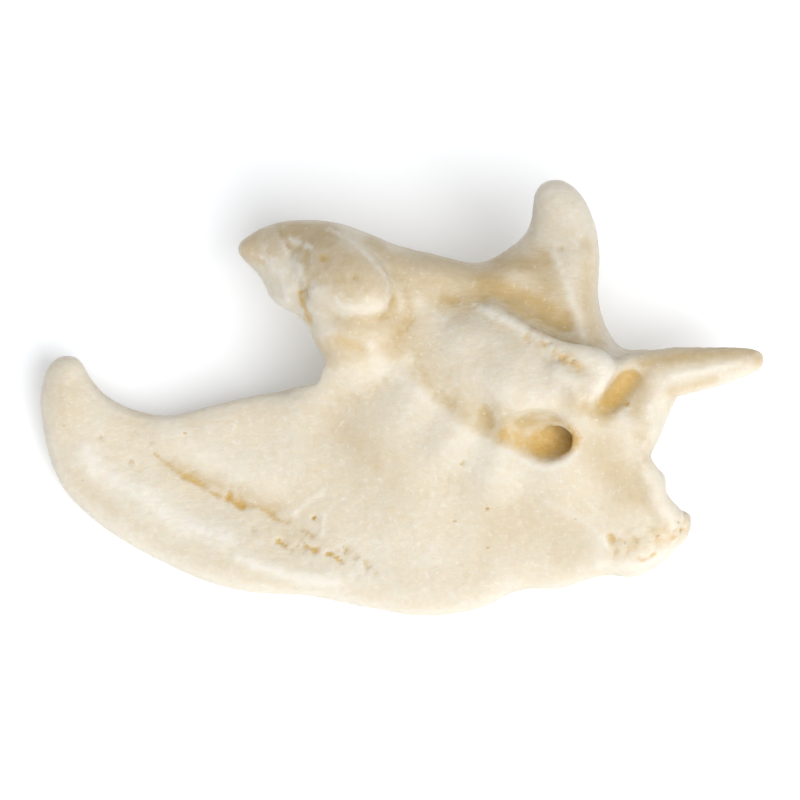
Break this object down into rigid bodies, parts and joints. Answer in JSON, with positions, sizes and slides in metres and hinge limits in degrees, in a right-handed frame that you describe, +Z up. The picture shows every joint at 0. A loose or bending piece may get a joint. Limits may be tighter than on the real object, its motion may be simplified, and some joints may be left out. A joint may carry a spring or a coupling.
{
  "type": "axis vertebra bone",
  "caption": "Second neck vertebra of a dog-like carnivore, lying on its side: long blade, tooth-like peg, joint facets, open nerve canal and rear processes.",
  "frame": {"origin": "bottom centre of the bounding box, on the surface that the bone lies on", "axes": "+X along the bone from the blade's beak towards the tail end, +Y from the blade's border towards the body, +Z up"},
  "size_m": [0.0614, 0.0362, 0.0182],
  "materials": {
    "bone": "dry cream bone with a soft sheen"
  },
  "bodies": {
    "root": {"axis_vertebra": "bone"}
  },
  "joints": []
}
